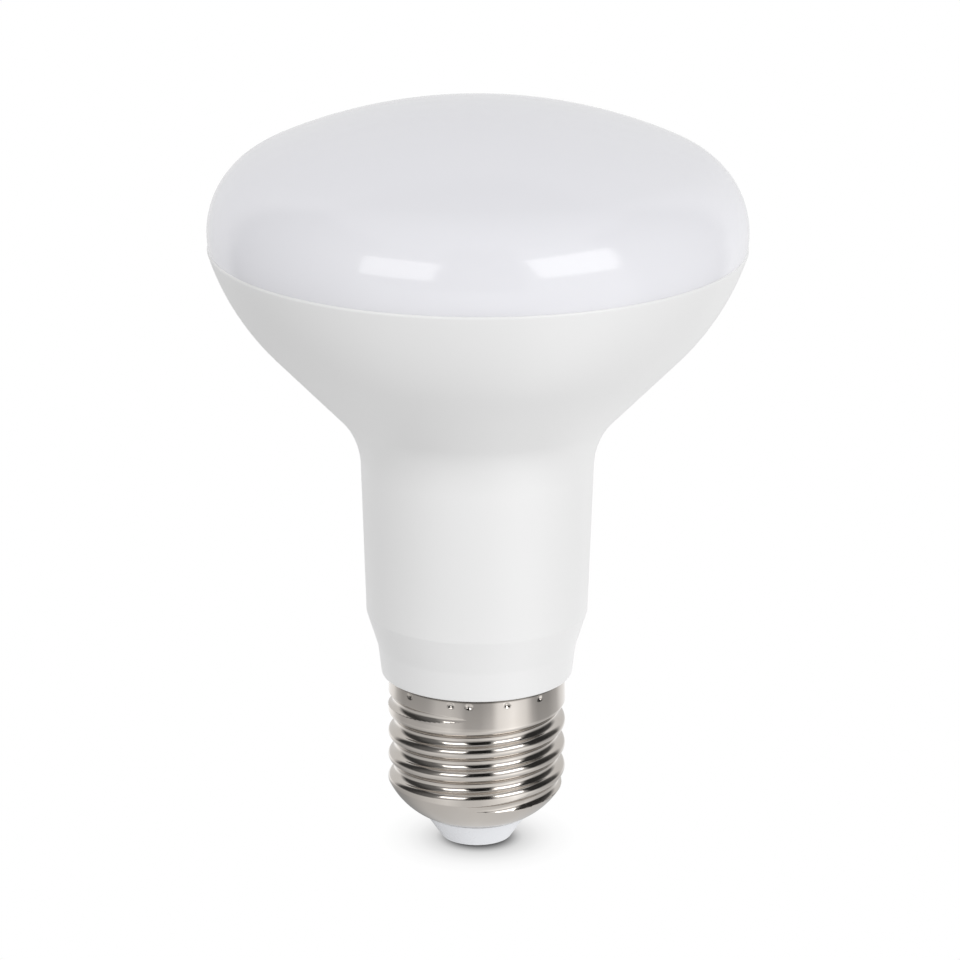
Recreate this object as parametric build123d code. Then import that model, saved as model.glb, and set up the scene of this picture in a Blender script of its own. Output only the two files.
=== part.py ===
from build123d import *
import os
from math import asin, atan, atan2, cos, degrees, floor, hypot, radians, sin, sqrt, tan

# LED spot bulb with an E27 screw cap, in millimetres: an opal dome on a flared white housing.
# The origin is the middle of the centre contact's flat underside. +Z runs up the axis to the dome and the front
# of the bulb faces -Y. Azimuths are in degrees from +X towards +Y, so the front is at 270.
# Outlines are half sections, given as (radius, height) and turned about Z.

# Centre contact
CONTACT_DIAMETER = 9.6
CONTACT_THICKNESS = 0.2
CONTACT_EDGE = 0.1           # bevel of the edge that meets the table
PIN_DIAMETER = 2.4
PIN_LENGTH = 6.0

# Base insulator
TIP_DIAMETER = 10.4
CONE_HEIGHT = 3.8            # the white cone that shows under the shell
PLUG_DIAMETER = 21.8         # the part that sits inside the shell's bowl
PLUG_HEIGHT = 5.0            # from the shell's lip up to the plug's top

# Screw shell: E27, rolled from sheet
SHEET = 0.35
SHELL_HEIGHT = 22.2          # from the lip to the top edge
LIP_DIAMETER = 15.6
LIP_ANGLE = 25.0             # of the bowl where it leaves the lip, from level
BOWL_HEIGHT = 5.34           # from the lip to where the bowl reaches the crest diameter
SKIRT_HEIGHT = 2.2           # of the wide bore at the top
SKIRT_TAPER = 1.0            # height of the step from that bore to the thread's
THREAD_DIAMETER = 26.4       # over the crests
THREAD_PITCH = 3.629
THREAD_ROUND = 1.025         # radius of crest and root
CREST_LAND = 10.0            # half angle of the crest arc that stays on the blank
CREST_HEIGHT = 9.1           # of one crest over the lip, at CREST_AZIMUTH
CREST_AZIMUTH = 180.0
# Ends of the groove: azimuth in the lowest and in the top turn, and share of its depth by which it has risen
RUN_IN = ((236.0, 1.0), (306.0, 0.0))
RUN_OUT = ((100.0, 0.0), (180.0, 0.25), (268.0, 1.0))

# Stake marks that lock the shell to the housing, in two like groups
STAKE_AZIMUTHS = (221.0, 253.0, 265.0, 290.0, 315.0)
STAKE_GROUP_TURNS = (0.0, 180.0)
STAKE_DROP = 1.1             # below the shell's top edge
STAKE_BALL = 0.6             # radius of the punch
STAKE_DEPTH = 0.22

# Housing
HOUSING_HEIGHT = 65.4        # from the shell's top edge to the dome's seat
COLLAR_DIAMETER = 28.24
COLLAR_HEIGHT = 4.5
COLLAR_DRAFT = 7.1           # from the axis
COLLAR_BLEND = 5.0
COLLAR_EDGE = 0.3
SHOULDER_HEIGHT = 5.3        # from the collar up to the neck's lower edge
NECK_DIAMETER = 32.7         # at its lower edge
NECK_DRAFT = 1.9
NECK_EDGE = 0.5
NECK_FILLET = 12.2
FLARE_ANGLE = 44.2           # of the straight flare, from the axis
FLARE_RADIUS = 37.4
RIM_ANGLE = 17.8             # of the flare at the dome's seat, from the axis
RIM_ROUND = 0.4              # rounding of the rim below the dome's edge
RIM_LEAN = 50.0              # of that rounding where it leaves the dome, from level

# Diffuser
HEAD_DIAMETER = 78.36
DOME_HEIGHT = 18.16          # from the widest ring to the top
DOME_RIM = 2.14              # from the seat to the widest ring
DOME_CORNER = 12.1
DOME_WALL = 1.5
SEAT_WIDTH = 2.3             # of the flat ring on which the dome sits
LEDGE_HEIGHT = 1.2
PLUG_RING_WALL = 1.5
PLUG_RING_DEPTH = 3.0

# Clearances
FIT = 0.05                   # between pieces that are pushed together
END_GAP = 0.3                # under the dome's plug ring

# Heights and radii that several pieces share
TIP_Z = CONTACT_THICKNESS
LIP_Z = TIP_Z + CONE_HEIGHT
SHELL_TOP_Z = LIP_Z + SHELL_HEIGHT
SEAT_Z = SHELL_TOP_Z + HOUSING_HEIGHT
PLUG_TOP_Z = LIP_Z + PLUG_HEIGHT
SKIRT_Z = SHELL_TOP_Z - SKIRT_HEIGHT
THREAD_TOP_Z = SKIRT_Z - SKIRT_TAPER
CREST_RADIUS = THREAD_DIAMETER / 2
THREAD_DEPTH = 2 * (THREAD_ROUND - sqrt(THREAD_ROUND**2 - (THREAD_PITCH / 4) ** 2))
ROOT_RADIUS = CREST_RADIUS - THREAD_DEPTH
BORE_RADIUS = ROOT_RADIUS - SHEET
SKIRT_BORE_RADIUS = CREST_RADIUS - SHEET
PIN_RADIUS = PIN_DIAMETER / 2
CORNER_CENTRE_RADIUS = HEAD_DIAMETER / 2 - DOME_CORNER
SEAM_RADIUS = CORNER_CENTRE_RADIUS + sqrt(DOME_CORNER**2 - DOME_RIM**2)
RECESS_RADIUS = SEAM_RADIUS - SEAT_WIDTH
PLUG_RING_Z = SEAT_Z - PLUG_RING_DEPTH


def turned(*edges):
    """The solid that a closed half outline sweeps about Z."""
    return revolve(Plane.XZ * make_face(edges), Axis.Z)


def meet(point, angle, other, other_angle):
    """Where two lines cross, each given by a point and its angle from the axis."""
    slope, other_slope = tan(radians(angle)), tan(radians(other_angle))
    height = (other[0] - other_slope * other[1] - point[0] + slope * point[1]) / (slope - other_slope)
    return point[0] + slope * (height - point[1]), height


class Bowl:
    """The shell's rounded bottom: an arc that leaves the lip at LIP_ANGLE and ends on the crest diameter."""

    run, rise = CREST_RADIUS - LIP_DIAMETER / 2, BOWL_HEIGHT
    lean = radians(LIP_ANGLE)
    radius = hypot(run, rise) ** 2 / 2 / (rise * cos(lean) - run * sin(lean))
    centre = (LIP_DIAMETER / 2 - radius * sin(lean), LIP_Z + radius * cos(lean))

    @classmethod
    def at(cls, radius, inset):
        """The point of the arc at this radius, on the surface that lies inset below the outside."""
        return radius, cls.centre[1] - sqrt((cls.radius - inset) ** 2 - (radius - cls.centre[0]) ** 2)

    @classmethod
    def lip(cls, inset):
        """The arc's lower end on the surface that lies inset below the outside."""
        return (
            cls.centre[0] + (cls.radius - inset) * sin(cls.lean),
            cls.centre[1] - (cls.radius - inset) * cos(cls.lean),
        )

    @classmethod
    def arc(cls, start, end, inset):
        """The arc between two of its points."""
        return ThreePointArc(start, cls.at((start[0] + end[0]) / 2, inset), end)


def centre_contact():
    """A flat disc with the pin that holds it in the insulator."""
    radius = CONTACT_DIAMETER / 2
    return turned(
        Polyline(
            (0, 0),
            (radius - CONTACT_EDGE, 0),
            (radius, CONTACT_EDGE),
            (radius, CONTACT_THICKNESS),
            (PIN_RADIUS, CONTACT_THICKNESS),
            (PIN_RADIUS, CONTACT_THICKNESS + PIN_LENGTH),
            (0, CONTACT_THICKNESS + PIN_LENGTH),
            close=True,
        )
    )


def base_insulator():
    """The white cone below the shell, and the plug above the lip that fills the bowl."""
    inset = SHEET + FIT
    hole = PIN_RADIUS + FIT
    waist = Bowl.lip(SHEET)[0] - FIT
    low = Bowl.at(waist, inset)
    high = Bowl.at(PLUG_DIAMETER / 2, inset)
    return turned(
        Polyline(
            low,
            (waist, LIP_Z - FIT),
            (LIP_DIAMETER / 2, LIP_Z - FIT),
            (TIP_DIAMETER / 2, TIP_Z),
            (hole, TIP_Z),
            (hole, PLUG_TOP_Z),
            (high[0], PLUG_TOP_Z),
            high,
        ),
        Bowl.arc(low, high, inset),
    )


def shell_blank():
    """The shell before its thread is rolled: a bowl, a straight wall and a wider bore at the top."""
    lip, lip_inside = Bowl.lip(0), Bowl.lip(SHEET)
    bowl_top = Bowl.at(CREST_RADIUS, 0)
    bore_bottom = Bowl.at(BORE_RADIUS, SHEET)
    return turned(
        Bowl.arc(lip, bowl_top, 0),
        Polyline(
            bowl_top,
            (CREST_RADIUS, SHELL_TOP_Z),
            (SKIRT_BORE_RADIUS, SHELL_TOP_Z),
            (SKIRT_BORE_RADIUS, SKIRT_Z),
            (BORE_RADIUS, THREAD_TOP_Z),
            bore_bottom,
        ),
        Bowl.arc(lip_inside, bore_bottom, SHEET),
        Line(lip_inside, lip),
    )


def groove_section():
    """Section of the thread's groove at height 0: a root arc, and on each side a crest arc up to the land."""
    half, quarter = THREAD_PITCH / 2, THREAD_PITCH / 4
    crest_centre = CREST_RADIUS - THREAD_ROUND
    flank_radius = CREST_RADIUS - THREAD_DEPTH / 2
    outside = CREST_RADIUS + THREAD_DEPTH

    def on_crest(angle):
        turn = radians(angle)
        return crest_centre + THREAD_ROUND * cos(turn), half - THREAD_ROUND * sin(turn)

    flank_angle = degrees(asin(quarter / THREAD_ROUND))
    land = on_crest(CREST_LAND)
    middle = on_crest((CREST_LAND + flank_angle) / 2)
    crest = ThreePointArc(land, middle, (flank_radius, quarter))
    root = ThreePointArc((flank_radius, quarter), (ROOT_RADIUS, 0), (flank_radius, -quarter))
    crest_below = ThreePointArc((flank_radius, -quarter), (middle[0], -middle[1]), (land[0], -land[1]))
    mouth = Polyline((land[0], -land[1]), (outside, -land[1]), (outside, land[1]), land)
    return Plane.XZ * make_face([crest, root, crest_below, mouth])


def thread_groove():
    """The right-hand groove in stretches: cut in above the bowl, full depth, then rising out of the skirt."""
    first_root_z = LIP_Z + CREST_HEIGHT + THREAD_PITCH / 2
    low_turn = 360 * floor((LIP_Z + BOWL_HEIGHT - first_root_z) / THREAD_PITCH)
    top_turn = 360 * floor((SKIRT_Z - first_root_z) / THREAD_PITCH)
    stations = [(low_turn + azimuth, share) for azimuth, share in RUN_IN]
    stations += [(top_turn + azimuth, share) for azimuth, share in RUN_OUT]

    def stretch(start, start_share, end, end_share):
        height = THREAD_PITCH * (end - start) / 360
        lift, rise = start_share * THREAD_DEPTH, (end_share - start_share) * THREAD_DEPTH
        path = Helix(THREAD_PITCH, height, ROOT_RADIUS + lift, cone_angle=degrees(atan(rise / height)))
        groove = sweep(Pos(lift, 0, 0) * groove_section(), path=path, is_frenet=True)
        return Pos(0, 0, first_root_z + THREAD_PITCH * (start - CREST_AZIMUTH) / 360) * Rot(0, 0, start) * groove

    return [stretch(*low, *high) for low, high in zip(stations, stations[1:])]


def stake_marks():
    """The punch balls that dent the skirt under the housing's edge."""
    reach = CREST_RADIUS + STAKE_BALL - STAKE_DEPTH
    return [
        Rot(0, 0, azimuth + turn) * Pos(reach, 0, SHELL_TOP_Z - STAKE_DROP) * Sphere(STAKE_BALL)
        for turn in STAKE_GROUP_TURNS
        for azimuth in STAKE_AZIMUTHS
    ]


def screw_shell():
    """The E27 shell: a blank with its rolled thread and its stake marks."""
    shell = shell_blank()
    for groove in thread_groove():
        shell -= groove
    return shell - stake_marks()


def housing():
    """The white body: seat and recess for the dome, flare, neck, collar, and the post inside the shell."""
    seat_edge = (SEAM_RADIUS, SEAT_Z)
    lean, rim = radians(RIM_LEAN), radians(RIM_ANGLE)
    edge_centre = (SEAM_RADIUS - RIM_ROUND * cos(lean), SEAT_Z - RIM_ROUND * sin(lean))
    edge = CenterArc(edge_centre, RIM_ROUND, RIM_LEAN, -RIM_LEAN - RIM_ANGLE)
    flare = JernArc(edge @ 1, (-sin(rim), -cos(rim)), FLARE_RADIUS, RIM_ANGLE - FLARE_ANGLE)
    flare_end = (flare @ 1).X, (flare @ 1).Y

    collar_top_z = SHELL_TOP_Z + COLLAR_HEIGHT
    collar_top = (COLLAR_DIAMETER / 2 + COLLAR_HEIGHT * tan(radians(COLLAR_DRAFT)), collar_top_z)
    neck_bottom = (NECK_DIAMETER / 2, collar_top_z + SHOULDER_HEIGHT)
    neck_top = meet(neck_bottom, NECK_DRAFT, flare_end, FLARE_ANGLE)
    skirt_post = SKIRT_BORE_RADIUS - FIT
    thread_post = BORE_RADIUS - FIT
    post_root = (skirt_post, SHELL_TOP_Z)
    collar_edge = min(COLLAR_EDGE, (COLLAR_DIAMETER / 2 - skirt_post) / 2)
    outside = FilletPolyline(
        flare_end,
        neck_top,
        neck_bottom,
        collar_top,
        (COLLAR_DIAMETER / 2, SHELL_TOP_Z),
        post_root,
        radius=[NECK_FILLET, NECK_EDGE, COLLAR_BLEND, collar_edge],
    )
    floor_z = PLUG_RING_Z - END_GAP
    inside = Polyline(
        post_root,
        (skirt_post, SKIRT_Z + FIT),
        (thread_post, THREAD_TOP_Z + FIT),
        (thread_post, PLUG_TOP_Z),
        (0, PLUG_TOP_Z),
        (0, floor_z),
        (RECESS_RADIUS, floor_z),
        (RECESS_RADIUS, SEAT_Z),
        seat_edge,
    )
    return turned(edge, flare, *outside.edges(), inside)


def diffuser():
    """The opal dome: a crown arc tangent to a corner arc, a flat seat, and a ring that plugs into the housing."""
    rise = DOME_HEIGHT
    crown_radius = (CORNER_CENTRE_RADIUS**2 + rise**2 - DOME_CORNER**2) / (2 * (rise - DOME_CORNER))
    widest_z = SEAT_Z + DOME_RIM
    apex_z = widest_z + DOME_HEIGHT
    crown_z = apex_z - crown_radius
    join = degrees(atan2(widest_z - crown_z, CORNER_CENTRE_RADIUS))
    seam = degrees(asin(DOME_RIM / DOME_CORNER))

    def skin(inset, low):
        corner = CenterArc((CORNER_CENTRE_RADIUS, widest_z), DOME_CORNER - inset, low, join - low)
        crown = CenterArc((0, crown_z), crown_radius - inset, join, 90 - join)
        return corner, crown

    ring_outside = RECESS_RADIUS - FIT
    ring_inside = ring_outside - PLUG_RING_WALL
    wall_inside = HEAD_DIAMETER / 2 - DOME_WALL
    ledge_z = SEAT_Z + LEDGE_HEIGHT
    rim = Polyline(
        (wall_inside, widest_z),
        (wall_inside, ledge_z),
        (ring_inside, ledge_z),
        (ring_inside, PLUG_RING_Z),
        (ring_outside, PLUG_RING_Z),
        (ring_outside, SEAT_Z),
        (SEAM_RADIUS, SEAT_Z),
    )
    axis = Line((0, apex_z - DOME_WALL), (0, apex_z))
    return turned(*skin(0, -seam), *skin(DOME_WALL, 0), rim, axis)


PIECES = (diffuser, housing, screw_shell, base_insulator, centre_contact)


def main():
    """Write one STEP file for each piece."""
    os.makedirs("parts", exist_ok=True)
    for piece in PIECES:
        export_step(piece(), f"parts/{piece.__name__}.step")


if __name__ == "__main__":
    main()
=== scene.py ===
"""Looks of an LED spot bulb with an E27 screw cap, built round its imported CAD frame.

The bulb stands on its centre contact at the origin, +Z runs up its axis and its front faces -Y.
Outlines are half sections in millimetres, written as (radius, height), and become metres where a
mesh is made. Azimuths in the studio are in degrees from the front, positive towards +X. Those of
the screw cap are in degrees from +X, towards +Y.
"""

import logging
import math
from dataclasses import dataclass, field
from enum import Enum
from typing import Any, Sequence

import bpy
import numpy as np
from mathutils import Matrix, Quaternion, Vector


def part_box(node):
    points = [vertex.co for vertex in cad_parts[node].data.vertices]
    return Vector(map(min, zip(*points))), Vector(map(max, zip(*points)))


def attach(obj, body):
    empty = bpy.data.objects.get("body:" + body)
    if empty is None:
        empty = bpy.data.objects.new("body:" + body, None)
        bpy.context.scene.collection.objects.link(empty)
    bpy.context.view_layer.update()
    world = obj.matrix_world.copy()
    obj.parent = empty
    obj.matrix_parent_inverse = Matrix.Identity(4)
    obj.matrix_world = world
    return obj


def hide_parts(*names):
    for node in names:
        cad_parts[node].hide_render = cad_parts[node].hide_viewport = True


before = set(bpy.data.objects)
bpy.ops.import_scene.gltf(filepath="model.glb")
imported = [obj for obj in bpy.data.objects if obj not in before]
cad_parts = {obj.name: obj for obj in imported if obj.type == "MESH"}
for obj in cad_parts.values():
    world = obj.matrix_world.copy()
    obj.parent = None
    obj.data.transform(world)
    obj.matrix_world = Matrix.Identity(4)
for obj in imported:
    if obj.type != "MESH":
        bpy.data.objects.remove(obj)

log = logging.getLogger("led_spot_bulb")

MM = 0.001
PHOTO_WIDTH = 960
WHITE = "#FFFFFF"
# Vertices closer than this, in metres, are one
MERGE_DISTANCE = 1e-6

Point = tuple[float, float]
Colour = tuple[float, float, float, float]
# An azimuth or a distance, and the value there
Stops = tuple[tuple[float, float], ...]


class Slot(Enum):
    """Names of material slots; nothing in this script uses them."""

    DIFFUSER = "opal_diffuser"
    HOUSING = "white_housing"
    SHELL = "nickel_shell"
    INSULATOR = "white_insulator"


class Node(Enum):
    """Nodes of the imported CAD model."""

    DIFFUSER = "diffuser"
    HOUSING = "housing"
    SHELL = "screw_shell"
    INSULATOR = "base_insulator"
    CONTACT = "centre_contact"

    def reach(self) -> tuple[float, float, float]:
        """The node's largest radius, lowest height and highest height, in millimetres."""
        low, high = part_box(self.value)
        return high.x / MM, low.z / MM, high.z / MM


# Outlines and meshes


def arc(
    centre: Point, radius: float, start: float, end: float, step: float = 2.5
) -> list[Point]:
    """Points along an arc.

    Args:
        centre: middle of the arc.
        radius: of the arc.
        start: angle of the first point, in degrees from level.
        end: angle of the last point.
        step: largest angle between two points.

    Returns:
        The points from start to end.
    """
    count = max(2, math.ceil(abs(end - start) / step) + 1)
    angles = np.radians(np.linspace(start, end, count))
    return [(centre[0] + radius * math.cos(a), centre[1] + radius * math.sin(a)) for a in angles]


def rounded(corners: Sequence[tuple[float, float, float]], step: float = 6.0) -> list[Point]:
    """An outline through corners, each rounded by a tangent arc.

    Args:
        corners: radius, height and rounding of each corner; the first and last aren't rounded.
        step: largest angle between two points of a rounding, in degrees.

    Returns:
        The points of the outline.
    """
    points: list[Point] = [corners[0][:2]]
    for before, here, after in zip(corners, corners[1:], corners[2:]):
        rounding = here[2]
        if rounding == 0:
            points.append(here[:2])
            continue
        corner = Vector(here[:2])
        back = (Vector(before[:2]) - corner).normalized()
        ahead = (Vector(after[:2]) - corner).normalized()
        half = back.angle(ahead) / 2
        centre = corner + (back + ahead).normalized() * rounding / math.sin(half)
        first = corner + back * rounding / math.tan(half) - centre
        turn = math.degrees(math.pi - 2 * half)
        side = 1 if back.x * ahead.y - back.y * ahead.x < 0 else -1
        start = math.degrees(math.atan2(first.y, first.x))
        points += arc((centre.x, centre.y), rounding, start, start + side * turn, step)
    return points + [corners[-1][:2]]


def meet(point: Point, angle: float, other: Point, other_angle: float) -> Point:
    """Where two lines cross.

    Args:
        point: on the first line.
        angle: of the first line, in degrees from the axis.
        other: a point on the second line.
        other_angle: of the second line.

    Returns:
        The crossing.
    """
    slope, other_slope = math.tan(math.radians(angle)), math.tan(math.radians(other_angle))
    gap = other[0] - other_slope * other[1] - point[0] + slope * point[1]
    height = gap / (slope - other_slope)
    return point[0] + slope * (height - point[1]), height


def turned(
    name: str, outline: Sequence[Point], steps: int, smooth_angle: float = 40.0
) -> bpy.types.Object:
    """Draws a half outline by extruding a point, and spins it about the axis.

    Args:
        name: of the piece.
        outline: from axis to axis, or closed by repeating its first point.
        steps: of the spin.
        smooth_angle: edges sharper than this, in degrees, stay sharp.

    Returns:
        The closed piece, with its object at the origin.
    """
    bpy.ops.object.select_all(action="DESELECT")
    bpy.ops.mesh.primitive_plane_add(size=MM, location=(0, 0, 0))
    piece = bpy.context.object
    piece.name = piece.data.name = name
    bpy.ops.object.mode_set(mode="EDIT")
    bpy.ops.mesh.select_all(action="SELECT")
    bpy.ops.mesh.merge(type="COLLAPSE")
    bpy.ops.transform.translate(value=(outline[0][0] * MM, 0, outline[0][1] * MM))
    for here, there in zip(outline, outline[1:]):
        move = ((there[0] - here[0]) * MM, 0, (there[1] - here[1]) * MM)
        bpy.ops.mesh.extrude_region_move(TRANSFORM_OT_translate={"value": move})
    bpy.ops.mesh.select_all(action="SELECT")
    bpy.ops.mesh.spin(steps=steps, angle=math.tau, center=(0, 0, 0), axis=(0, 0, 1))
    bpy.ops.mesh.select_all(action="SELECT")
    bpy.ops.mesh.remove_doubles(threshold=MERGE_DISTANCE)
    bpy.ops.mesh.normals_make_consistent(inside=False)
    bpy.ops.object.mode_set(mode="OBJECT")
    bpy.ops.object.shade_smooth_by_angle(angle=math.radians(smooth_angle))
    return piece


def seat(piece: bpy.types.Object, node: Node, finish: "Finish") -> None:
    """Puts a finished piece in a CAD node's place.

    Args:
        piece: that stands for the node.
        node: that it replaces.
        finish: that dresses it.
    """
    piece.data.materials.clear()
    piece.data.materials.append(finish.material())
    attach(piece, "root")
    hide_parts(node.value)
    faces = len(piece.data.polygons)
    log.info("%s stands for %s: %d faces, %s", piece.name, node.value, faces, finish.name)


# Finishes


def linear(hex_colour: str) -> Colour:
    """Turns an sRGB colour linear.

    Args:
        hex_colour: written as #RRGGBB.

    Returns:
        Linear red, green and blue, with an alpha of 1.
    """
    channels = [int(hex_colour[i : i + 2], 16) / 255 for i in (1, 3, 5)]
    r, g, b = (c / 12.92 if c <= 0.04045 else ((c + 0.055) / 1.055) ** 2.4 for c in channels)
    return r, g, b, 1.0


def grey(level: float) -> Colour:
    """A linear grey of the given level."""
    return level, level, level, 1.0


def add_node(
    tree: bpy.types.NodeTree, kind: str, settings: dict[str, Any], inputs: dict[Any, Any]
) -> bpy.types.Node:
    """Adds a shader node.

    Args:
        tree: that gets the node.
        kind: of node, by its Blender type name.
        settings: attributes of the node.
        inputs: value or output socket for each input, by name or number.

    Returns:
        The node.
    """
    node = tree.nodes.new(kind)
    for key, value in settings.items():
        setattr(node, key, value)
    for key, value in inputs.items():
        if isinstance(value, bpy.types.NodeSocket):
            tree.links.new(value, node.inputs[key])
        else:
            node.inputs[key].default_value = value
    return node


def ramp_round_axis(
    tree: bpy.types.NodeTree, place: bpy.types.NodeSocket, stops: Stops
) -> bpy.types.NodeSocket:
    """A grey level that changes with the azimuth round the bulb.

    Args:
        tree: that gets the nodes.
        place: position or direction whose azimuth counts.
        stops: azimuth and level, from -180 to 180 degrees.

    Returns:
        The socket with the level as a colour.
    """
    parts = add_node(tree, "ShaderNodeSeparateXYZ", {}, {"Vector": place})
    front = add_node(
        tree, "ShaderNodeMath", {"operation": "MULTIPLY"}, {0: parts.outputs["Y"], 1: -1.0}
    )
    azimuth = add_node(
        tree,
        "ShaderNodeMath",
        {"operation": "ARCTAN2"},
        {0: parts.outputs["X"], 1: front.outputs["Value"]},
    )
    share = add_node(
        tree,
        "ShaderNodeMapRange",
        {},
        {"Value": azimuth.outputs["Value"], "From Min": -math.pi, "From Max": math.pi},
    )
    ramp = add_node(tree, "ShaderNodeValToRGB", {}, {"Fac": share.outputs["Result"]})
    elements = ramp.color_ramp.elements
    for element, (_, level) in zip(elements, (stops[0], stops[-1])):
        element.color = grey(level)
    for angle, level in stops[1:-1]:
        elements.new((angle + 180) / 360).color = grey(level)
    return ramp.outputs["Color"]


@dataclass(frozen=True)
class Finish:
    """A surface as its maker would name it."""

    name: str

    def material(self) -> bpy.types.Material:
        """Makes the material of this finish, once.

        Returns:
            The material, which all pieces of this finish share.
        """
        made = bpy.data.materials.get(self.name)
        if made is None:
            made = bpy.data.materials.new(self.name)
            made.use_nodes = True
            made.node_tree.nodes.clear()
            self.shade(made.node_tree)
        return made

    def shade(self, tree: bpy.types.NodeTree) -> None:
        """Fills the material's node tree."""
        raise NotImplementedError


@dataclass(frozen=True)
class MottledFinish(Finish):
    """A finish whose colour and gloss drift a little, in soft patches of a real size."""

    colour: str
    mottle: str
    mottle_mm: float
    mottle_detail: float
    mottle_contrast: float
    roughness: float
    roughness_swing: float

    def patches(
        self, tree: bpy.types.NodeTree
    ) -> tuple[bpy.types.NodeSocket, bpy.types.NodeSocket, bpy.types.NodeSocket]:
        """Adds the nodes of the patches.

        Args:
            tree: of the material.

        Returns:
            The sockets with the place on the piece, and the colour and the roughness there.
        """
        place = add_node(tree, "ShaderNodeTexCoord", {}, {}).outputs["Object"]
        patch = add_node(
            tree,
            "ShaderNodeTexNoise",
            {},
            {
                "Vector": place,
                "Scale": 1 / (self.mottle_mm * MM),
                "Detail": self.mottle_detail,
                "Roughness": self.mottle_contrast,
            },
        ).outputs["Fac"]
        tint = add_node(
            tree,
            "ShaderNodeMix",
            {"data_type": "RGBA"},
            {"Factor": patch, "A": linear(self.colour), "B": linear(self.mottle)},
        )
        gloss = add_node(
            tree,
            "ShaderNodeMapRange",
            {},
            {
                "Value": patch,
                "To Min": self.roughness - self.roughness_swing,
                "To Max": self.roughness + self.roughness_swing,
            },
        )
        return place, tint.outputs["Result"], gloss.outputs["Result"]


@dataclass(frozen=True)
class MouldedPlastic(MottledFinish):
    """A moulded thermoplastic: one colour all through, with a faint mottle from its flow."""

    colour: str = "#F0F0F0"
    mottle: str = "#ECECEC"
    mottle_mm: float = 24.0
    mottle_detail: float = 3.0
    mottle_contrast: float = 0.5
    roughness: float = 0.4
    roughness_swing: float = 0.06
    # The texture of the tool, drawn coarser than it is so that it shows
    grain_mm: float = 0.35
    grain_depth_mm: float = 0.004
    grain_detail: float = 2.0
    grain_contrast: float = 0.6
    ior: float = 1.55

    def shade(self, tree: bpy.types.NodeTree) -> None:
        """Fills the material's node tree.

        Args:
            tree: of the material.
        """
        place, tint, gloss = self.patches(tree)
        grain = add_node(
            tree,
            "ShaderNodeTexNoise",
            {},
            {
                "Vector": place,
                "Scale": 1 / (self.grain_mm * MM),
                "Detail": self.grain_detail,
                "Roughness": self.grain_contrast,
            },
        )
        relief = add_node(
            tree,
            "ShaderNodeBump",
            {},
            {"Height": grain.outputs["Fac"], "Distance": self.grain_depth_mm * MM, "Strength": 1.0},
        )
        surface = add_node(
            tree,
            "ShaderNodeBsdfPrincipled",
            {},
            {
                "Base Color": tint,
                "Roughness": gloss,
                "IOR": self.ior,
                "Normal": relief.outputs["Normal"],
            },
        )
        add_node(tree, "ShaderNodeOutputMaterial", {}, {"Surface": surface.outputs["BSDF"]})


@dataclass(frozen=True)
class OpalPlastic(MottledFinish):
    """Opal acrylic, polished in the tool."""

    colour: str = "#EDEDF1"
    mottle: str = "#E9E9EE"
    mottle_mm: float = 30.0
    mottle_detail: float = 2.0
    mottle_contrast: float = 0.5
    roughness: float = 0.1
    roughness_swing: float = 0.03
    ior: float = 1.49
    scatter: float = 0.15
    scatter_mm: float = 1.2

    def shade(self, tree: bpy.types.NodeTree) -> None:
        """Fills the material's node tree.

        Args:
            tree: of the material.
        """
        _, tint, gloss = self.patches(tree)
        surface = add_node(
            tree,
            "ShaderNodeBsdfPrincipled",
            {},
            {
                "Base Color": tint,
                "Roughness": gloss,
                "IOR": self.ior,
                "Subsurface Weight": self.scatter,
                "Subsurface Radius": (1.0, 1.0, 1.0),
                "Subsurface Scale": self.scatter_mm * MM,
            },
        )
        add_node(tree, "ShaderNodeOutputMaterial", {}, {"Surface": surface.outputs["BSDF"]})


@dataclass(frozen=True)
class NickelPlate(MottledFinish):
    """Bright nickel on rolled brass sheet: a little wavy, uneven in its polish, with a painted
    shade line under the collar.
    """

    colour: str = "#D3CEC9"
    mottle: str = "#CAC3BB"
    mottle_mm: float = 7.0
    mottle_detail: float = 4.0
    mottle_contrast: float = 0.55
    roughness: float = 0.11
    roughness_swing: float = 0.03
    wave_mm: float = 5.0
    wave_depth_mm: float = 0.02
    wave_detail: float = 1.0
    # Painted shade: a dark line where the metal goes under the collar, between these heights, in
    # place of the collar's shadow
    collar_shade: str = "#6E6963"
    collar_shade_mm: Point = (25.5, 25.75)

    def shade(self, tree: bpy.types.NodeTree) -> None:
        """Fills the material's node tree.

        Args:
            tree: of the material.
        """
        place, tint, gloss = self.patches(tree)
        parts = add_node(tree, "ShaderNodeSeparateXYZ", {}, {"Vector": place})
        low, high = self.collar_shade_mm
        # Painted shade under the collar: the colour turns darker between these two heights, where
        # the collar's overhang casts its shadow
        collar_shade_mask = add_node(
            tree,
            "ShaderNodeMapRange",
            {},
            {"Value": parts.outputs["Z"], "From Min": low * MM, "From Max": high * MM},
        )
        collar_shaded_tint = add_node(
            tree,
            "ShaderNodeMix",
            {"data_type": "RGBA"},
            {"Factor": collar_shade_mask.outputs["Result"], "A": tint, "B": linear(self.collar_shade)},
        )
        sheet = add_node(
            tree,
            "ShaderNodeTexNoise",
            {},
            {"Vector": place, "Scale": 1 / (self.wave_mm * MM), "Detail": self.wave_detail},
        )
        wavy = add_node(
            tree,
            "ShaderNodeBump",
            {},
            {"Height": sheet.outputs["Fac"], "Distance": self.wave_depth_mm * MM, "Strength": 1.0},
        )
        surface = add_node(
            tree,
            "ShaderNodeBsdfPrincipled",
            {},
            {
                "Base Color": collar_shaded_tint.outputs["Result"],
                "Metallic": 1.0,
                "Roughness": gloss,
                "Normal": wavy.outputs["Normal"],
            },
        )
        add_node(tree, "ShaderNodeOutputMaterial", {}, {"Surface": surface.outputs["BSDF"]})


# PBT from a textured tool: an even satin white with broad, soft highlights
HOUSING_PLASTIC = MouldedPlastic("white_pbt_moulded_satin")
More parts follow.
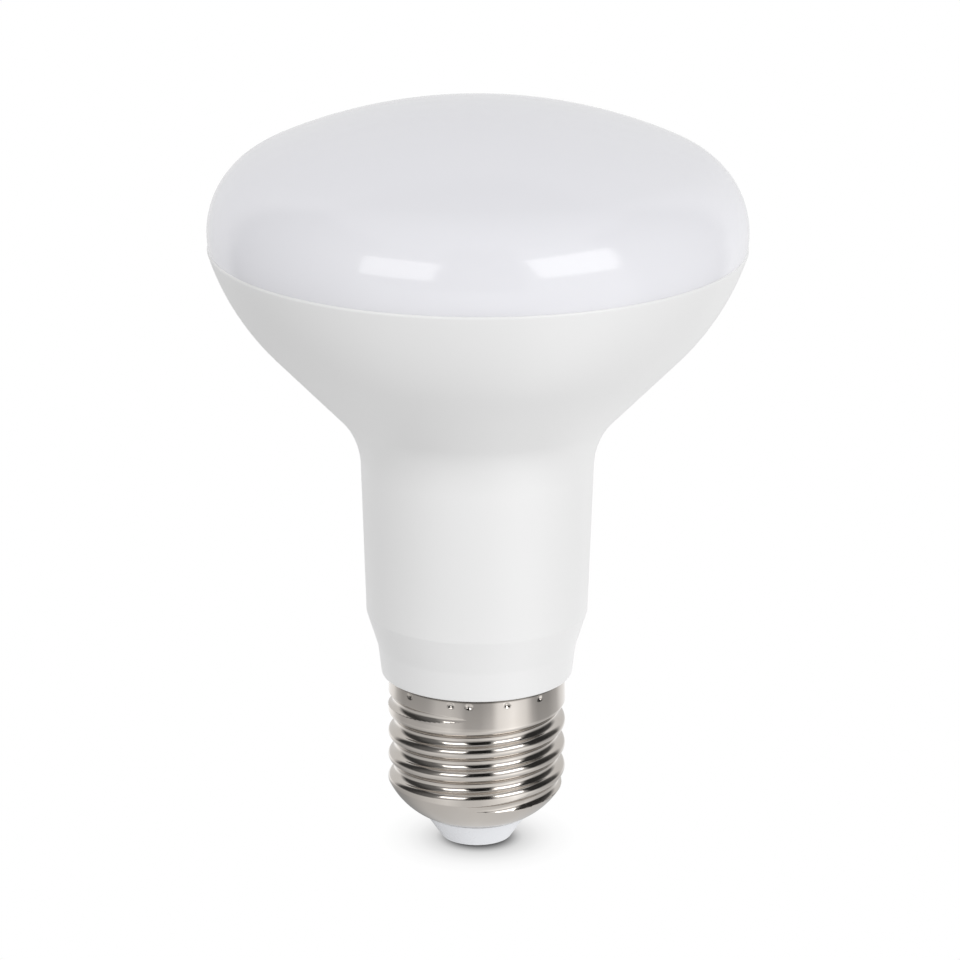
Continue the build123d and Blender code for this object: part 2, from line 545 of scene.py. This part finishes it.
# PBT from a smooth tool: a slightly cooler white with a tighter sheen
INSULATOR_PLASTIC = MouldedPlastic(
    "white_pbt_moulded_gloss",
    colour="#F3F4F8",
    mottle="#EEF0F4",
    mottle_mm=6.0,
    roughness=0.28,
    grain_mm=0.2,
    grain_depth_mm=0.002,
)
# Opal acrylic: pale lilac and milky, under a polished skin that mirrors the lamps sharply
DIFFUSER_PLASTIC = OpalPlastic("opal_acrylic_moulded")
# Bright nickel: a warm grey mirror that draws the room as dark and white bands along the thread
SHELL_PLATE = NickelPlate("nickel_plated_rolled_brass")
# Nickel dulled by use: a darker grey with blurred reflections
CONTACT_PLATE = NickelPlate(
    "nickel_plated_contact_dulled", colour="#A9A39B", mottle="#8C857B", roughness=0.3
)


# The bulb


@dataclass
class Head:
    """The opal dome that closes the bulb."""

    corner: float = 12.1
    rim: float = 2.14
    wall: float = 1.5
    seat_width: float = 2.3
    ledge: float = 1.2
    ring_wall: float = 1.5
    fit: float = 0.05
    edge: float = 0.2
    steps: int = 288
    # Largest angles between two points, in degrees
    crown_step: float = 0.6
    inside_step: float = 1.2
    edge_step: float = 15.0
    radius: float = field(init=False)
    ring_z: float = field(init=False)
    apex_z: float = field(init=False)
    seat_z: float = field(init=False)

    def __post_init__(self) -> None:
        """Takes the driving sizes from the CAD frame."""
        self.radius, self.ring_z, self.apex_z = Node.DIFFUSER.reach()
        self.seat_z = Node.HOUSING.reach()[2]

    @property
    def seam_radius(self) -> float:
        """Radius where the dome meets the housing."""
        return self.radius - self.corner + math.sqrt(self.corner**2 - self.rim**2)

    @property
    def recess_radius(self) -> float:
        """Radius of the housing's recess that takes the dome's ring."""
        return self.seam_radius - self.seat_width

    def outline(self) -> list[Point]:
        """Draws the dome's section.

        Returns:
            The half outline, over the dome, round the seat and the ring, and under the crown.
        """
        turn = self.radius - self.corner
        widest_z = self.seat_z + self.rim
        rise = self.apex_z - widest_z
        crown = (turn**2 + rise**2 - self.corner**2) / (2 * (rise - self.corner))
        crown_z = self.apex_z - crown
        join = math.degrees(math.atan2(widest_z - crown_z, turn))
        seam = math.degrees(math.asin(self.rim / self.corner))
        ring = self.recess_radius - self.fit
        inside = self.radius - self.wall
        ledge_z = self.seat_z + self.ledge
        over = arc((0, crown_z), crown, 90, join, self.crown_step)
        over += arc((turn, widest_z), self.corner, join, -seam)[1:]
        under = arc((turn, widest_z), self.corner - self.wall, 0, join)
        under += arc((0, crown_z), crown - self.wall, join, 90, self.inside_step)[1:]
        foot = rounded(
            [
                (*over[-1], 0),
                (ring, self.seat_z, 0),
                (ring, self.ring_z, self.edge),
                (ring - self.ring_wall, self.ring_z, self.edge),
                (ring - self.ring_wall, ledge_z, self.edge),
                (inside, ledge_z, self.edge),
                (*under[0], 0),
            ],
            self.edge_step,
        )
        return over + foot[1:] + under[1:]

    def build(self) -> None:
        """Turns the dome and dresses it."""
        dome = turned("opal_dome", self.outline(), self.steps)
        seat(dome, Node.DIFFUSER, DIFFUSER_PLASTIC)


@dataclass
class Body:
    """The white housing from the dome's seat to the collar over the screw shell."""

    head: Head
    rim_round: float = 0.4
    rim_lean: float = 50.0
    rim_angle: float = 17.8
    flare_radius: float = 37.4
    flare_angle: float = 44.2
    neck_fillet: float = 12.2
    neck_radius: float = 16.35
    neck_draft: float = 1.9
    neck_edge: float = 0.5
    shoulder: float = 5.3
    collar_radius: float = 14.12
    collar: float = 4.5
    collar_draft: float = 7.1
    collar_blend: float = 5.0
    collar_edge: float = 0.3
    recess: float = 3.3
    recess_fillet: float = 0.3
    recess_edge: float = 0.15
    skirt_post: float = 12.8
    thread_post: float = 11.7
    skirt: float = 2.2
    taper: float = 1.0
    steps: int = 256
    # Largest angles between two points, in degrees
    rim_step: float = 6.0
    flare_step: float = 1.0
    neck_step: float = 2.0
    seat_z: float = field(init=False)
    post_z: float = field(init=False)
    collar_z: float = field(init=False)

    def __post_init__(self) -> None:
        """Takes the driving sizes from the CAD frame."""
        _, self.post_z, self.seat_z = Node.HOUSING.reach()
        self.collar_z = Node.SHELL.reach()[2]

    def outline(self) -> list[Point]:
        """Draws the housing's section.

        Returns:
            The half outline, from the recess over the rim, down the outside and round the post
            in the shell.
        """
        floor_z = self.seat_z - self.recess
        lean, rim = math.radians(self.rim_lean), math.radians(self.rim_angle)
        edge_centre = (
            self.head.seam_radius - self.rim_round * math.cos(lean),
            self.seat_z - self.rim_round * math.sin(lean),
        )
        edge = arc(edge_centre, self.rim_round, self.rim_lean, -self.rim_angle, self.rim_step)
        flare_centre = (
            edge[-1][0] - self.flare_radius * math.cos(rim),
            edge[-1][1] + self.flare_radius * math.sin(rim),
        )
        flare = arc(
            flare_centre, self.flare_radius, -self.rim_angle, -self.flare_angle, self.flare_step
        )
        recess = rounded(
            [
                (0, floor_z, 0),
                (self.head.recess_radius, floor_z, self.recess_fillet),
                (self.head.recess_radius, self.seat_z, self.recess_edge),
                (*edge[0], 0),
            ]
        )
        collar_top_z = self.collar_z + self.collar
        collar_top = self.collar_radius + self.collar * math.tan(math.radians(self.collar_draft))
        neck_bottom = (self.neck_radius, collar_top_z + self.shoulder)
        neck_top = meet(neck_bottom, self.neck_draft, flare[-1], self.flare_angle)
        outside = rounded(
            [
                (*flare[-1], 0),
                (*neck_top, self.neck_fillet),
                (*neck_bottom, self.neck_edge),
                (collar_top, collar_top_z, self.collar_blend),
                (self.collar_radius, self.collar_z, self.collar_edge),
                (self.skirt_post, self.collar_z, 0),
            ],
            self.neck_step,
        )
        skirt_z = self.collar_z - self.skirt
        post = [
            (self.skirt_post, skirt_z),
            (self.thread_post, skirt_z - self.taper),
            (self.thread_post, self.post_z),
            (0, self.post_z),
        ]
        return recess + edge[1:] + flare[1:] + outside[1:] + post

    def build(self) -> None:
        """Turns the housing and dresses it."""
        housing = turned("flared_housing", self.outline(), self.steps)
        seat(housing, Node.HOUSING, HOUSING_PLASTIC)


@dataclass
class ScrewCap:
    """The nickel shell with its rolled thread and stake marks, the insulator and the contact."""

    sheet: float = 0.35
    lip_radius: float = 7.8
    lip_angle: float = 25.0
    bowl: float = 5.34
    skirt: float = 2.2
    taper: float = 1.0
    edge_radius: float = 13.05
    narrowing: float = 4.6
    pitch: float = 3.629
    thread_round: float = 1.025
    crest: float = 9.1
    # Azimuth on the first and on the last turn, and the share of its depth that the groove lacks
    run_in: Stops = ((236.0, 1.0), (306.0, 0.0))
    run_out: Stops = ((100.0, 0.0), (180.0, 0.25), (268.0, 1.0))
    # The same past the groove's ends, where nothing is cut
    no_cut: float = 2.0
    stakes: tuple[float, ...] = (221.0, 253.0, 265.0, 290.0, 315.0)
    stake_drop: float = 1.1
    stake_ball: float = 0.6
    stake_depth: float = 0.22
    # Heights between the rings of the mesh, and the height below the wall where they grow close
    ring_step: float = 0.09
    stake_step: float = 0.1
    cut_in: float = 2.0
    # Largest angles between two points, in degrees
    bowl_step: float = 3.0
    cut_in_step: float = 0.5
    cone_step: float = 10.0
    steps: int = 400
    smooth_angle: float = 60.0
    # Heights that the thread is measured at, and the reach that its slopes are taken over
    samples: int = 2000
    probe: float = 0.01
    tip_radius: float = 5.2
    tip_round: float = 0.15
    lip_round: float = 0.1
    lip_step: float = 0.2
    pin_hole: float = 1.25
    plug_radius: float = 10.9
    fit: float = 0.05
    cone_steps: int = 128
    crest_radius: float = field(init=False)
    lip_z: float = field(init=False)
    top_z: float = field(init=False)
    tip_z: float = field(init=False)
    plug_z: float = field(init=False)

    def __post_init__(self) -> None:
        """Takes the driving sizes from the CAD frame."""
        self.crest_radius, self.lip_z, self.top_z = Node.SHELL.reach()
        _, self.tip_z, self.plug_z = Node.INSULATOR.reach()

    @property
    def depth(self) -> float:
        """Depth of the thread, from its pitch and round."""
        return 2 * (self.thread_round - math.sqrt(self.thread_round**2 - (self.pitch / 4) ** 2))

    @property
    def wall_z(self) -> float:
        """Height where the bowl turns into the straight wall."""
        return self.lip_z + self.bowl

    @property
    def marks_z(self) -> float:
        """Height where the band of the stake marks starts."""
        return self.top_z - self.stake_drop - self.stake_ball

    def bowl_arc(self) -> tuple[Point, float]:
        """Finds the arc that rounds the shell's bottom, from the lip out to the crests.

        Returns:
            Its centre and radius.
        """
        run, lean = self.crest_radius - self.lip_radius, math.radians(self.lip_angle)
        lift = self.bowl * math.cos(lean) - run * math.sin(lean)
        radius = math.hypot(run, self.bowl) ** 2 / 2 / lift
        centre = (self.lip_radius - radius * math.sin(lean), self.lip_z + radius * math.cos(lean))
        return centre, radius

    def bowl_point(self, radius: float, inset: float) -> Point:
        """The bowl's point at a radius, on the surface that lies inset below its outside."""
        centre, size = self.bowl_arc()
        return radius, centre[1] - math.sqrt((size - inset) ** 2 - (radius - centre[0]) ** 2)

    def bowl_angle(self, point: Point) -> float:
        """Angle of a point about the centre of the bowl's arc, in degrees from level."""
        centre, _ = self.bowl_arc()
        return math.degrees(math.atan2(point[1] - centre[1], point[0] - centre[0]))

    def blank_radius(self, z: np.ndarray) -> np.ndarray:
        """Measures the shell before its thread is rolled.

        Args:
            z: heights.

        Returns:
            The outside radius at each height.
        """
        centre, size = self.bowl_arc()
        bowl = centre[0] + np.sqrt(np.clip(size**2 - (z - centre[1]) ** 2, 0, None))
        ends = (self.top_z - self.narrowing, self.top_z)
        wall = np.interp(z, ends, (self.crest_radius, self.edge_radius))
        return np.where(z < self.wall_z, bowl, wall)

    def rolled_radius(self, azimuth: np.ndarray, z: np.ndarray) -> np.ndarray:
        """Measures the shell with its round thread.

        Args:
            azimuth: of each place.
            z: height of each place.

        Returns:
            The outside radius there; the groove is cut in above the bowl and rises out under the
            top edge.
        """
        first_root_z = self.lip_z + self.crest + self.pitch / 2
        root_z = first_root_z + self.pitch * (azimuth - 180) / 360
        turns = np.round((z - root_z) / self.pitch)
        away = np.abs(z - root_z - turns * self.pitch)
        quarter = self.pitch / 4
        near, far = np.clip(away, 0, quarter), np.clip(2 * quarter - away, 0, quarter)
        from_root = self.thread_round - np.sqrt(self.thread_round**2 - near**2)
        from_crest = self.thread_round - np.sqrt(self.thread_round**2 - far**2)
        drop = np.where(away < quarter, self.depth - from_root, from_crest)
        top_turn = math.floor((self.top_z - self.skirt - first_root_z) / self.pitch)
        low_turn = math.floor((self.wall_z - first_root_z) / self.pitch)
        from_top, from_low = 360 * (turns - top_turn), 360 * (turns - low_turn)
        risen = np.interp(azimuth + from_top, *zip(*self.run_out), right=self.no_cut)
        risen += np.interp(azimuth + from_low, *zip(*self.run_in), left=self.no_cut)
        return np.minimum(self.blank_radius(z), self.crest_radius - drop + risen * self.depth)

    def shell_outline(self) -> list[Point]:
        """Draws the section of the shell's blank.

        Returns:
            The half outline, up the outside and down the bore, with close rings for the thread.
        """
        centre, size = self.bowl_arc()
        start = self.lip_angle - 90
        end = -math.degrees(math.acos((self.crest_radius - centre[0]) / size))
        cut = math.degrees(math.asin((self.wall_z - self.cut_in - centre[1]) / size))
        bowl = arc(centre, size, start, cut, self.bowl_step)
        bowl += arc(centre, size, cut, end, self.cut_in_step)[1:]
        stretches = (
            (bowl[-1][1], self.marks_z, self.ring_step),
            (self.marks_z, self.top_z, self.stake_step),
        )
        heights = np.concatenate(
            [
                np.linspace(low, high, math.ceil((high - low) / step) + 1)[1:]
                for low, high, step in stretches
            ]
        )
        wall = list(zip(self.blank_radius(heights), heights))
        bore = self.crest_radius - self.depth - self.sheet
        skirt_z = self.top_z - self.skirt
        inside = [
            (self.crest_radius - self.sheet, self.top_z),
            (self.crest_radius - self.sheet, skirt_z),
            (bore, skirt_z - self.taper),
            self.bowl_point(bore, self.sheet),
        ]
        inside_end = self.bowl_angle(inside[-1])
        lip = arc(centre, size - self.sheet, inside_end, start, self.bowl_step)[1:]
        return bowl + wall + inside + lip + [bowl[0]]

    def spread(self, azimuth: np.ndarray, z: np.ndarray) -> np.ndarray:
        """Moves the rings of the threaded wall to even distances over its crests and flanks.

        Args:
            azimuth: of each vertex.
            z: height of each vertex, evenly spaced over the wall.

        Returns:
            The new heights, with those outside the wall unchanged.
        """
        low, high = self.wall_z, self.marks_z
        moved = z.copy()
        fine = np.linspace(low, high, self.samples)
        column = np.round(azimuth / 360 * self.steps).astype(int) % self.steps
        for i in range(self.steps):
            here = (column == i) & (z > low) & (z < high)
            outline = self.rolled_radius(np.full_like(fine, i * 360 / self.steps), fine)
            length = np.concatenate(([0], np.cumsum(np.hypot(np.diff(outline), np.diff(fine)))))
            moved[here] = np.interp((z[here] - low) / (high - low) * length[-1], length, fine)
        return moved

    def roll_thread(self, points: np.ndarray) -> np.ndarray:
        """Rolls the thread into the outside of the blank.

        Args:
            points: vertices of the blank, in millimetres; their radius and height are changed.

        Returns:
            The thread's own normal at each vertex that it shapes, zero at the others, so that
            the metal mirrors evenly.
        """
        azimuth = np.degrees(np.arctan2(points[:, 1], points[:, 0])) % 360
        radius = np.hypot(points[:, 0], points[:, 1])
        outside = radius > self.blank_radius(points[:, 2]) - self.sheet / 4
        points[outside, 2] = self.spread(azimuth[outside], points[outside, 2])
        z = points[:, 2]
        rolled = self.rolled_radius(azimuth, z)
        points[outside, :2] *= (rolled / radius)[outside, None]
        above = self.rolled_radius(azimuth, z + self.probe)
        below = self.rolled_radius(azimuth, z - self.probe)
        by_height = (above - below) / (2 * self.probe)
        turn = np.degrees(self.probe / rolled)
        ahead, behind = self.rolled_radius(azimuth + turn, z), self.rolled_radius(azimuth - turn, z)
        round_axis = (ahead - behind) / (2 * self.probe)
        east, north = np.cos(np.radians(azimuth)), np.sin(np.radians(azimuth))
        normals = np.stack(
            [east + round_axis * north, north - round_axis * east, -by_height], axis=1
        )
        normals /= np.linalg.norm(normals, axis=1)[:, None]
        inner = outside & (z > self.lip_z + self.sheet) & (z < self.top_z - self.stake_step / 2)
        return np.where(inner[:, None], normals, 0)

    def punch_stakes(self, points: np.ndarray) -> np.ndarray:
        """Dents the skirt where the shell is staked to the housing.

        Args:
            points: vertices of the shell, in millimetres; those that a punch meets are pushed in.

        Returns:
            Which vertices lie in a punch mark or at its edge.
        """
        height = self.top_z - self.stake_drop
        skin = float(self.blank_radius(np.array(height)))
        reach = skin + self.stake_ball - self.stake_depth
        marked = np.zeros(len(points), bool)
        for azimuth in [stake + turn for turn in (0, 180) for stake in self.stakes]:
            a = math.radians(azimuth)
            axis = np.array([math.cos(a), math.sin(a), 0])
            rel = points - np.array([0, 0, height])
            along = rel @ axis
            side = np.linalg.norm(rel - np.outer(along, axis), axis=1)
            hit = (side < self.stake_ball) & (along > skin - self.sheet / 2)
            floor = reach - np.sqrt(np.clip(self.stake_ball**2 - side**2, 0, None))
            points -= np.outer(np.where(hit, np.clip(along - floor, 0, None), 0), axis)
            marked |= hit
        return marked

    def build_shell(self) -> None:
        """Turns the blank, rolls its thread, punches its stake marks and dresses it."""
        piece = turned("nickel_shell", self.shell_outline(), self.steps)
        points = np.empty(len(piece.data.vertices) * 3)
        piece.data.vertices.foreach_get("co", points)
        points = points.reshape(-1, 3) / MM
        normals = self.roll_thread(points)
        normals[self.punch_stakes(points)] = 0
        piece.data.vertices.foreach_set("co", (points * MM).ravel())
        piece.data.update()
        bpy.ops.object.shade_smooth_by_angle(angle=math.radians(self.smooth_angle))
        piece.data.normals_split_custom_set_from_vertices(normals)
        seat(piece, Node.SHELL, SHELL_PLATE)

    def build_insulator(self) -> None:
        """Turns the white cone and its plug, and dresses them."""
        inset = self.sheet + self.fit
        waist = self.lip_radius - self.lip_step
        low, high = self.bowl_point(waist, inset), self.bowl_point(self.plug_radius, inset)
        cone = rounded(
            [
                (*low, 0),
                (waist, self.lip_z - self.fit, 0),
                (self.lip_radius, self.lip_z - self.fit, self.lip_round),
                (self.tip_radius, self.tip_z, self.tip_round),
                (self.pin_hole, self.tip_z, 0),
                (self.pin_hole, self.plug_z, 0),
                (high[0], self.plug_z, 0),
                (*high, 0),
            ],
            self.cone_step,
        )
        centre, size = self.bowl_arc()
        ends = self.bowl_angle(high), self.bowl_angle(low)
        outline = cone + arc(centre, size - inset, *ends, self.bowl_step)[1:]
        piece = turned("white_insulator", outline, self.cone_steps)
        seat(piece, Node.INSULATOR, INSULATOR_PLASTIC)

    def build(self) -> None:
        """Builds the shell and the insulator, and dresses the contact."""
        self.build_shell()
        self.build_insulator()
        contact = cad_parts[Node.CONTACT.value]
        contact.data.materials.clear()
        contact.data.materials.append(CONTACT_PLATE.material())
        log.info("%s keeps its CAD shape: %s", contact.name, CONTACT_PLATE.name)


# The studio


@dataclass(frozen=True)
class Softbox:
    """A soft lamp, by where it stands round the bulb and its size in metres."""

    name: str
    azimuth: float
    elevation: float
    width: float
    height: float
    radiance: float
    distance: float = 0.9

    def build(self, target: Vector) -> None:
        """Sets up the lamp, facing the target.

        Args:
            target: the point that it faces, in metres.
        """
        a, e = math.radians(self.azimuth), math.radians(self.elevation)
        away = Vector((math.sin(a) * math.cos(e), -math.cos(a) * math.cos(e), math.sin(e)))
        lamp = bpy.data.lights.new(self.name, "AREA")
        lamp.shape = "RECTANGLE"
        lamp.size, lamp.size_y = self.width, self.height
        lamp.energy = self.radiance * math.pi * self.width * self.height
        stand = bpy.data.objects.new(self.name, lamp)
        bpy.context.scene.collection.objects.link(stand)
        stand.location = target + away * self.distance
        stand.rotation_euler = (-away).to_track_quat("-Z", "Y").to_euler()
        stand.visible_camera = False
        log.info("lamp %s at %s", self.name, tuple(round(x, 3) for x in stand.location))


@dataclass(frozen=True)
class FloorPaper(Finish):
    """White paper, lit unevenly round the bulb.

    To the camera it is plain white but for the shadow under the cap, partly real shade on grey
    paper and partly a painted shadow that fades to white round a middle set off the axis. The
    plastic gets the light that it throws, and the metal mirrors its lighter and darker parts.
    """

    # Painted shadow: a mid grey rather than the paper's white, so that the shadow under the cap
    # comes out darker
    colour: str = "#767676"
    shadow_shift_mm: Point = (0.4, -1.1)
    # Distance from the shadow's middle in millimetres, and share of plain white
    shadow: Stops = (
        (4.1, 0.0), (4.9, 0.21), (5.75, 0.47), (6.5, 0.64), (7.3, 0.72), (9.3, 0.86),
        (11.4, 0.945), (14.5, 1.0),
    )
    # Azimuth and light that the paper throws on the plastic
    bounce: Stops = ((-180, 0.83), (-90, 0.26), (0, 0.75), (90, 0.92), (180, 0.83))
    # Distance from the axis in millimetres, and the brightness mirrored there, by azimuth
    lit: tuple[tuple[float, Stops], ...] = (
        (
            18.0,
            (
                (-180, 0.8), (-140, 0.5), (-118, 0.3), (-92, 0.4), (-60, 0.65), (0, 0.8),
                (60, 0.76), (92, 0.65), (118, 0.55), (140, 0.65), (180, 0.8),
            ),
        ),
        (
            50.0,
            (
                (-180, 1.2), (-132, 1.15), (-105, 0.6), (-68, 0.7), (-32, 1.12), (-14, 0.78),
                (4, 0.8), (44, 1.7), (80, 0.6), (100, 0.6), (140, 1.1), (180, 1.2),
            ),
        ),
        (
            140.0,
            (
                (-180, 0.8), (-128, 0.8), (-118, 0.15), (-60, 0.15), (-50, 0.4), (-20, 0.4),
                (-12, 0.15), (18, 0.15), (26, 0.9), (62, 0.9), (72, 0.12), (118, 0.12),
                (130, 0.8), (180, 0.8),
            ),
        ),
        (
            300.0,
            (
                (-180, 0.8), (-128, 0.8), (-118, 0.15), (-60, 0.15), (-40, 0.6), (0, 0.7),
                (60, 0.8), (75, 0.12), (118, 0.12), (130, 0.8), (180, 0.8),
            ),
        ),
    )

    def shadow_fade(
        self, tree: bpy.types.NodeTree, place: bpy.types.NodeSocket
    ) -> bpy.types.NodeSocket:
        """Adds the nodes of the painted shadow under the cap, a fade from the grey paper to plain
        white.

        Args:
            tree: of the material.
            place: position on the floor.

        Returns:
            The socket with the share of plain white.
        """
        shift = (self.shadow_shift_mm[0] * MM, self.shadow_shift_mm[1] * MM, 0.0)
        away = add_node(
            tree, "ShaderNodeVectorMath", {"operation": "DISTANCE"}, {0: place, 1: shift}
        )
        near, far = self.shadow[0][0], self.shadow[-1][0]
        share = add_node(
            tree,
            "ShaderNodeMapRange",
            {},
            {"Value": away.outputs["Value"], "From Min": near * MM, "From Max": far * MM},
        )
        fade = add_node(tree, "ShaderNodeValToRGB", {}, {"Fac": share.outputs["Result"]})
        for reach, white in self.shadow[1:-1]:
            fade.color_ramp.elements.new((reach - near) / (far - near)).color = grey(white)
        return fade.outputs["Color"]

    def mirrored_light(
        self, tree: bpy.types.NodeTree, place: bpy.types.NodeSocket
    ) -> bpy.types.NodeSocket:
        """Adds the nodes of the light and dark parts that the metal mirrors.

        Args:
            tree: of the material.
            place: position on the floor.

        Returns:
            The socket with the brightness as a colour.
        """
        from_axis = add_node(tree, "ShaderNodeVectorMath", {"operation": "LENGTH"}, {0: place})
        level = ramp_round_axis(tree, place, self.lit[0][1])
        for (near, _), (far, stops) in zip(self.lit, self.lit[1:]):
            away = add_node(
                tree,
                "ShaderNodeMapRange",
                {},
                {"Value": from_axis.outputs["Value"], "From Min": near * MM, "From Max": far * MM},
            )
            outer = ramp_round_axis(tree, place, stops)
            level = add_node(
                tree,
                "ShaderNodeMix",
                {"data_type": "RGBA"},
                {"Factor": away.outputs["Result"], "A": level, "B": outer},
            ).outputs["Result"]
        return level

    def shade(self, tree: bpy.types.NodeTree) -> None:
        """Fills the material's node tree.

        Args:
            tree: of the material.
        """
        place = add_node(tree, "ShaderNodeTexCoord", {}, {}).outputs["Object"]
        rays = add_node(tree, "ShaderNodeLightPath", {}, {})
        thrown = add_node(
            tree,
            "ShaderNodeMix",
            {"data_type": "RGBA"},
            {
                "Factor": rays.outputs["Is Diffuse Ray"],
                "A": self.mirrored_light(tree, place),
                "B": ramp_round_axis(tree, place, self.bounce),
            },
        )
        glow = add_node(
            tree, "ShaderNodeEmission", {}, {"Color": thrown.outputs["Result"], "Strength": 1.0}
        )
        paper = add_node(tree, "ShaderNodeBsdfDiffuse", {}, {"Color": linear(self.colour)})
        plain = add_node(tree, "ShaderNodeEmission", {}, {"Color": linear(WHITE), "Strength": 1.0})
        shaded = add_node(
            tree,
            "ShaderNodeMixShader",
            {},
            {
                0: self.shadow_fade(tree, place),
                1: paper.outputs["BSDF"],
                2: plain.outputs["Emission"],
            },
        )
        seen = add_node(
            tree,
            "ShaderNodeMixShader",
            {},
            {
                0: rays.outputs["Is Camera Ray"],
                1: glow.outputs["Emission"],
                2: shaded.outputs["Shader"],
            },
        )
        add_node(tree, "ShaderNodeOutputMaterial", {}, {"Surface": seen.outputs["Shader"]})


@dataclass
class Studio:
    """Floor, lamps, surroundings and camera."""

    floor_width: float = 6.0
    floor: FloorPaper = FloorPaper("white_studio_paper")
    lamps: tuple[Softbox, ...] = (
        Softbox("left_softbox", -34.2, 24.4, 0.49, 0.346, 2.5),
        Softbox("right_softbox", 43.2, 27.6, 0.565, 0.39, 2.8),
    )
    # Soft light on the plastics, and its change towards +X, +Y and +Z
    ambient: float = 1.28
    slope: tuple[float, float, float] = (-0.06, 0.29, -0.87)
    # Azimuth and brightness of the walls that the metal mirrors, all the way round
    walls: Stops = (
        (-180, 0.8), (-131, 0.8), (-117, 0.05), (-95, 0.05), (-80, 0.12), (-60, 0.2),
        (-50, 0.45), (-20, 0.45), (-13, 0.01), (17, 0.01), (24, 0.75), (60, 0.75), (70, 0.03),
        (100, 0.03), (120, 0.1), (134, 0.8), (180, 0.8),
    )
    # Brightness of the ceiling, and the sines of the elevations where the walls turn into it
    overhead: float = 0.55
    cove: Point = (0.76, 0.84)
    camera_distance: float = 700.6
    camera_target_z: float = 55.79
    camera_elevation: float = 17.67
    camera_roll: float = 0.15
    # Nearest and farthest view, in metres
    camera_range: Point = (0.01, 20.0)
    focal_px: float = 4770.8
    axis_px: float = 477.3
    sensor: float = 36.0

    def lay_floor(self) -> None:
        """Lays the floor under the contact."""
        bpy.ops.object.select_all(action="DESELECT")
        bpy.ops.mesh.primitive_plane_add(size=self.floor_width, location=(0, 0, 0))
        floor = bpy.context.object
        floor.name = "floor"
        paper = self.floor.material()
        paper.cycles.emission_sampling = "NONE"
        floor.data.materials.append(paper)

    def light_room(self) -> None:
        """Sets up the lamps, and a world that the camera, the plastics and the metal see apart.

        The camera sees plain white, the plastics get soft light, and the metal mirrors a room of
        dark and white walls.
        """
        for lamp in self.lamps:
            lamp.build(Vector((0, 0, self.camera_target_z * MM)))
        world = bpy.data.worlds.new("studio_room")
        bpy.context.scene.world = world
        world.use_nodes = True
        tree = world.node_tree
        tree.nodes.clear()
        direction = add_node(tree, "ShaderNodeTexCoord", {}, {}).outputs["Generated"]
        parts = add_node(tree, "ShaderNodeSeparateXYZ", {}, {"Vector": direction})
        high = add_node(
            tree,
            "ShaderNodeMapRange",
            {"interpolation_type": "SMOOTHSTEP"},
            {"Value": parts.outputs["Z"], "From Min": self.cove[0], "From Max": self.cove[1]},
        )
        mirrored = add_node(
            tree,
            "ShaderNodeMix",
            {"data_type": "RGBA"},
            {
                "Factor": high.outputs["Result"],
                "A": ramp_round_axis(tree, direction, self.walls),
                "B": grey(self.overhead),
            },
        )
        room = add_node(
            tree,
            "ShaderNodeBackground",
            {},
            {"Color": mirrored.outputs["Result"], "Strength": 1.0},
        )
        lean = add_node(
            tree,
            "ShaderNodeVectorMath",
            {"operation": "DOT_PRODUCT"},
            {0: direction, 1: self.slope},
        )
        level = add_node(
            tree,
            "ShaderNodeMath",
            {"operation": "ADD"},
            {0: lean.outputs["Value"], 1: self.ambient},
        )
        soft = add_node(
            tree,
            "ShaderNodeBackground",
            {},
            {"Color": linear(WHITE), "Strength": level.outputs["Value"]},
        )
        white = add_node(
            tree, "ShaderNodeBackground", {}, {"Color": linear(WHITE), "Strength": 1.0}
        )
        rays = add_node(tree, "ShaderNodeLightPath", {}, {})
        mirror = add_node(
            tree,
            "ShaderNodeMath",
            {"operation": "MAXIMUM"},
            {0: rays.outputs["Is Glossy Ray"], 1: rays.outputs["Is Transmission Ray"]},
        )
        unseen = add_node(
            tree,
            "ShaderNodeMixShader",
            {},
            {
                0: mirror.outputs["Value"],
                1: soft.outputs["Background"],
                2: room.outputs["Background"],
            },
        )
        seen = add_node(
            tree,
            "ShaderNodeMixShader",
            {},
            {
                0: rays.outputs["Is Camera Ray"],
                1: unseen.outputs["Shader"],
                2: white.outputs["Background"],
            },
        )
        add_node(tree, "ShaderNodeOutputWorld", {}, {"Surface": seen.outputs["Shader"]})

    def place_camera(self) -> None:
        """Places the camera where the photo's camera stood."""
        lens = bpy.data.cameras.new("camera")
        lens.sensor_width = self.sensor
        lens.lens = self.focal_px / PHOTO_WIDTH * self.sensor
        lens.shift_x = (PHOTO_WIDTH / 2 - self.axis_px) / PHOTO_WIDTH
        lens.clip_start, lens.clip_end = self.camera_range
        camera = bpy.data.objects.new("camera", lens)
        bpy.context.scene.collection.objects.link(camera)
        e = math.radians(self.camera_elevation)
        back = Vector((0, -math.cos(e), math.sin(e)))
        target = Vector((0, 0, self.camera_target_z * MM))
        camera.location = target + back * self.camera_distance * MM
        roll = Quaternion(back, math.radians(self.camera_roll))
        camera.rotation_euler = (roll @ (-back).to_track_quat("-Z", "Y")).to_euler()
        bpy.context.scene.camera = camera

    def build(self) -> None:
        """Builds the studio."""
        self.lay_floor()
        self.light_room()
        self.place_camera()
        bpy.context.scene.view_settings.view_transform = "Standard"


def main() -> None:
    logging.basicConfig(level=logging.INFO, format="%(name)s: %(message)s")
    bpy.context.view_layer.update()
    head = Head()
    head.build()
    Body(head).build()
    ScrewCap().build()
    Studio().build()


if __name__ == "__main__":
    main()
